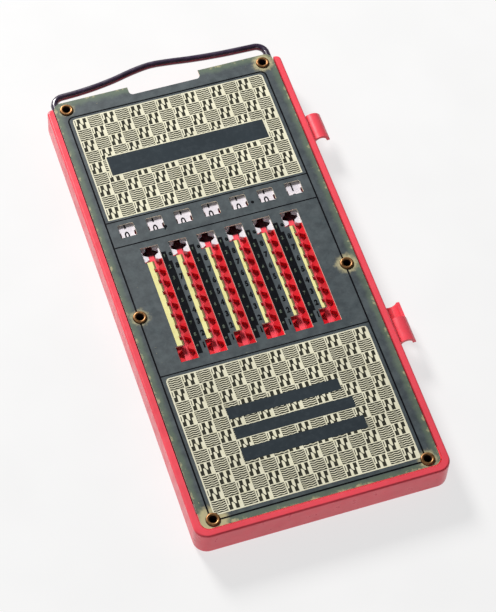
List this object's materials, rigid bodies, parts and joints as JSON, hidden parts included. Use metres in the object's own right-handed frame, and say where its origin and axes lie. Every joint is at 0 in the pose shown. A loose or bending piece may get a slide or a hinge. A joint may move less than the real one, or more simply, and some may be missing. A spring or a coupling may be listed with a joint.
{
  "type": "slide adder",
  "caption": "Pocket slide adder: a red plastic tray with toothed sliders under a printed metal plate, and a wire bail that clears them.",
  "frame": {"origin": "middle of the flat underside, below the centre of the front plate", "axes": "+X to the side with the stylus loops, +Y to the bail end, +Z out of the front plate"},
  "size_m": [0.0803, 0.1619, 0.0102],
  "materials": {
    "coral_plastic": "moulded coral red, satin gloss",
    "printed_tin": "tin plate printed grey-green, bare at its wear",
    "coated_wire": "dark aubergine coating on wire",
    "steel_strip": "plain strip steel",
    "slider_plastic": "red strip with a white upper part and black digits",
    "eyelet_brass": "tarnished brass"
  },
  "bodies": {
    "tray": {"body_shell": "coral_plastic", "front_plate": "printed_tin", "eyelet_upper_left": "eyelet_brass", "eyelet_upper_right": "eyelet_brass", "eyelet_middle_left": "eyelet_brass", "eyelet_middle_right": "eyelet_brass", "eyelet_lower_left": "eyelet_brass", "eyelet_lower_right": "eyelet_brass"},
    "slider_millions": {"slider_millions": "slider_plastic"},
    "slider_hundred_thousands": {"slider_hundred_thousands": "slider_plastic"},
    "slider_ten_thousands": {"slider_ten_thousands": "slider_plastic"},
    "slider_thousands": {"slider_thousands": "slider_plastic"},
    "slider_hundreds": {"slider_hundreds": "slider_plastic"},
    "slider_tens": {"slider_tens": "slider_plastic"},
    "slider_units": {"slider_units": "slider_plastic"},
    "bail": {"clearing_bail": "coated_wire", "clearing_bar": "steel_strip"}
  },
  "joints": [
    {"name": "slider_millions_slide", "type": "slide", "parent": "tray", "child": "slider_millions", "axis": [0, -1, 0], "range_m": [0, 0.04]},
    {"name": "slider_hundred_thousands_slide", "type": "slide", "parent": "tray", "child": "slider_hundred_thousands", "axis": [0, -1, 0], "range_m": [0, 0.04]},
    {"name": "slider_ten_thousands_slide", "type": "slide", "parent": "tray", "child": "slider_ten_thousands", "axis": [0, -1, 0], "range_m": [0, 0.04]},
    {"name": "slider_thousands_slide", "type": "slide", "parent": "tray", "child": "slider_thousands", "axis": [0, -1, 0], "range_m": [0, 0.04]},
    {"name": "slider_hundreds_slide", "type": "slide", "parent": "tray", "child": "slider_hundreds", "axis": [0, -1, 0], "range_m": [0, 0.04]},
    {"name": "slider_tens_slide", "type": "slide", "parent": "tray", "child": "slider_tens", "axis": [0, -1, 0], "range_m": [0, 0.04]},
    {"name": "slider_units_slide", "type": "slide", "parent": "tray", "child": "slider_units", "axis": [0, -1, 0], "range_m": [0, 0.04]},
    {"name": "bail_draw", "type": "slide", "parent": "tray", "child": "bail", "axis": [0, -1, 0], "range_m": [-0.0404, 0]}
  ]
}
